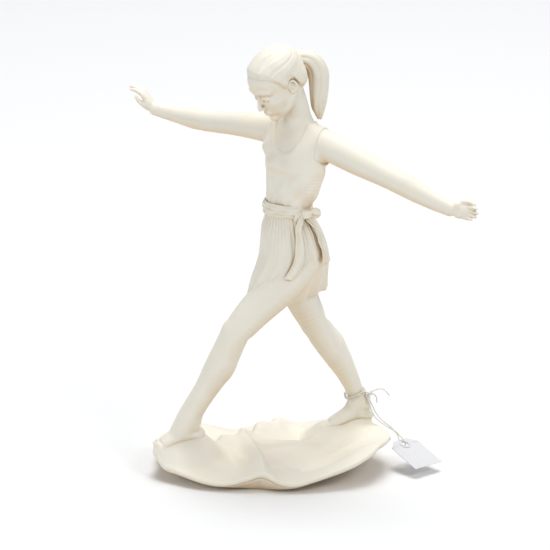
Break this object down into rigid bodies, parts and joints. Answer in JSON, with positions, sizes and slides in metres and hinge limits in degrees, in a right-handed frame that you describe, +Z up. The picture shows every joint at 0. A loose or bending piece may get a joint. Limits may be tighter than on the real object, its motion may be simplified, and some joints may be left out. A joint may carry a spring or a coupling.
{
  "type": "porcelain figurine",
  "caption": "Matt ivory porcelain figurine of a striding dancer with outstretched arms on a low wave-shaped base, with a blank card ticket tied to one ankle.",
  "frame": {"origin": "on the table under the middle of the figurine's bounding box, ticket left out", "axes": "+Z up, +X to the figure's trailing hand, so the figure strides towards -X, and -Y to the viewer"},
  "size_m": [0.1972, 0.1044, 0.2481],
  "materials": {
    "bisque": "matt unglazed ivory bisque",
    "ticket_card": "matt white card",
    "eyelet": "pressed paper reinforcement ring",
    "thread": "twisted off-white cotton thread"
  },
  "bodies": {
    "figurine": {"base": "bisque", "torso": "bisque", "front_leg": "bisque", "rear_leg": "bisque", "skirt": "bisque", "sash_band": "bisque", "sash_knot": "bisque", "sash_tail_front": "bisque", "sash_tail_back": "bisque", "right_arm": "bisque", "left_arm": "bisque", "right_hand": "bisque", "left_hand": "bisque", "head": "bisque", "hair": "bisque", "hair_ribbon": "bisque", "ponytail": "bisque", "tag_string": "thread", "string_knot": "thread"},
    "ticket": {"tag_card": "ticket_card", "tag_eyelet": "eyelet"}
  },
  "joints": [
    {"name": "tag_swing", "type": "hinge", "parent": "figurine", "child": "ticket", "pos_m": [0.058, 0.007, 0.0126], "axis": [0.2421, -0.2538, 0.9365], "range_deg": [0, 40]}
  ]
}
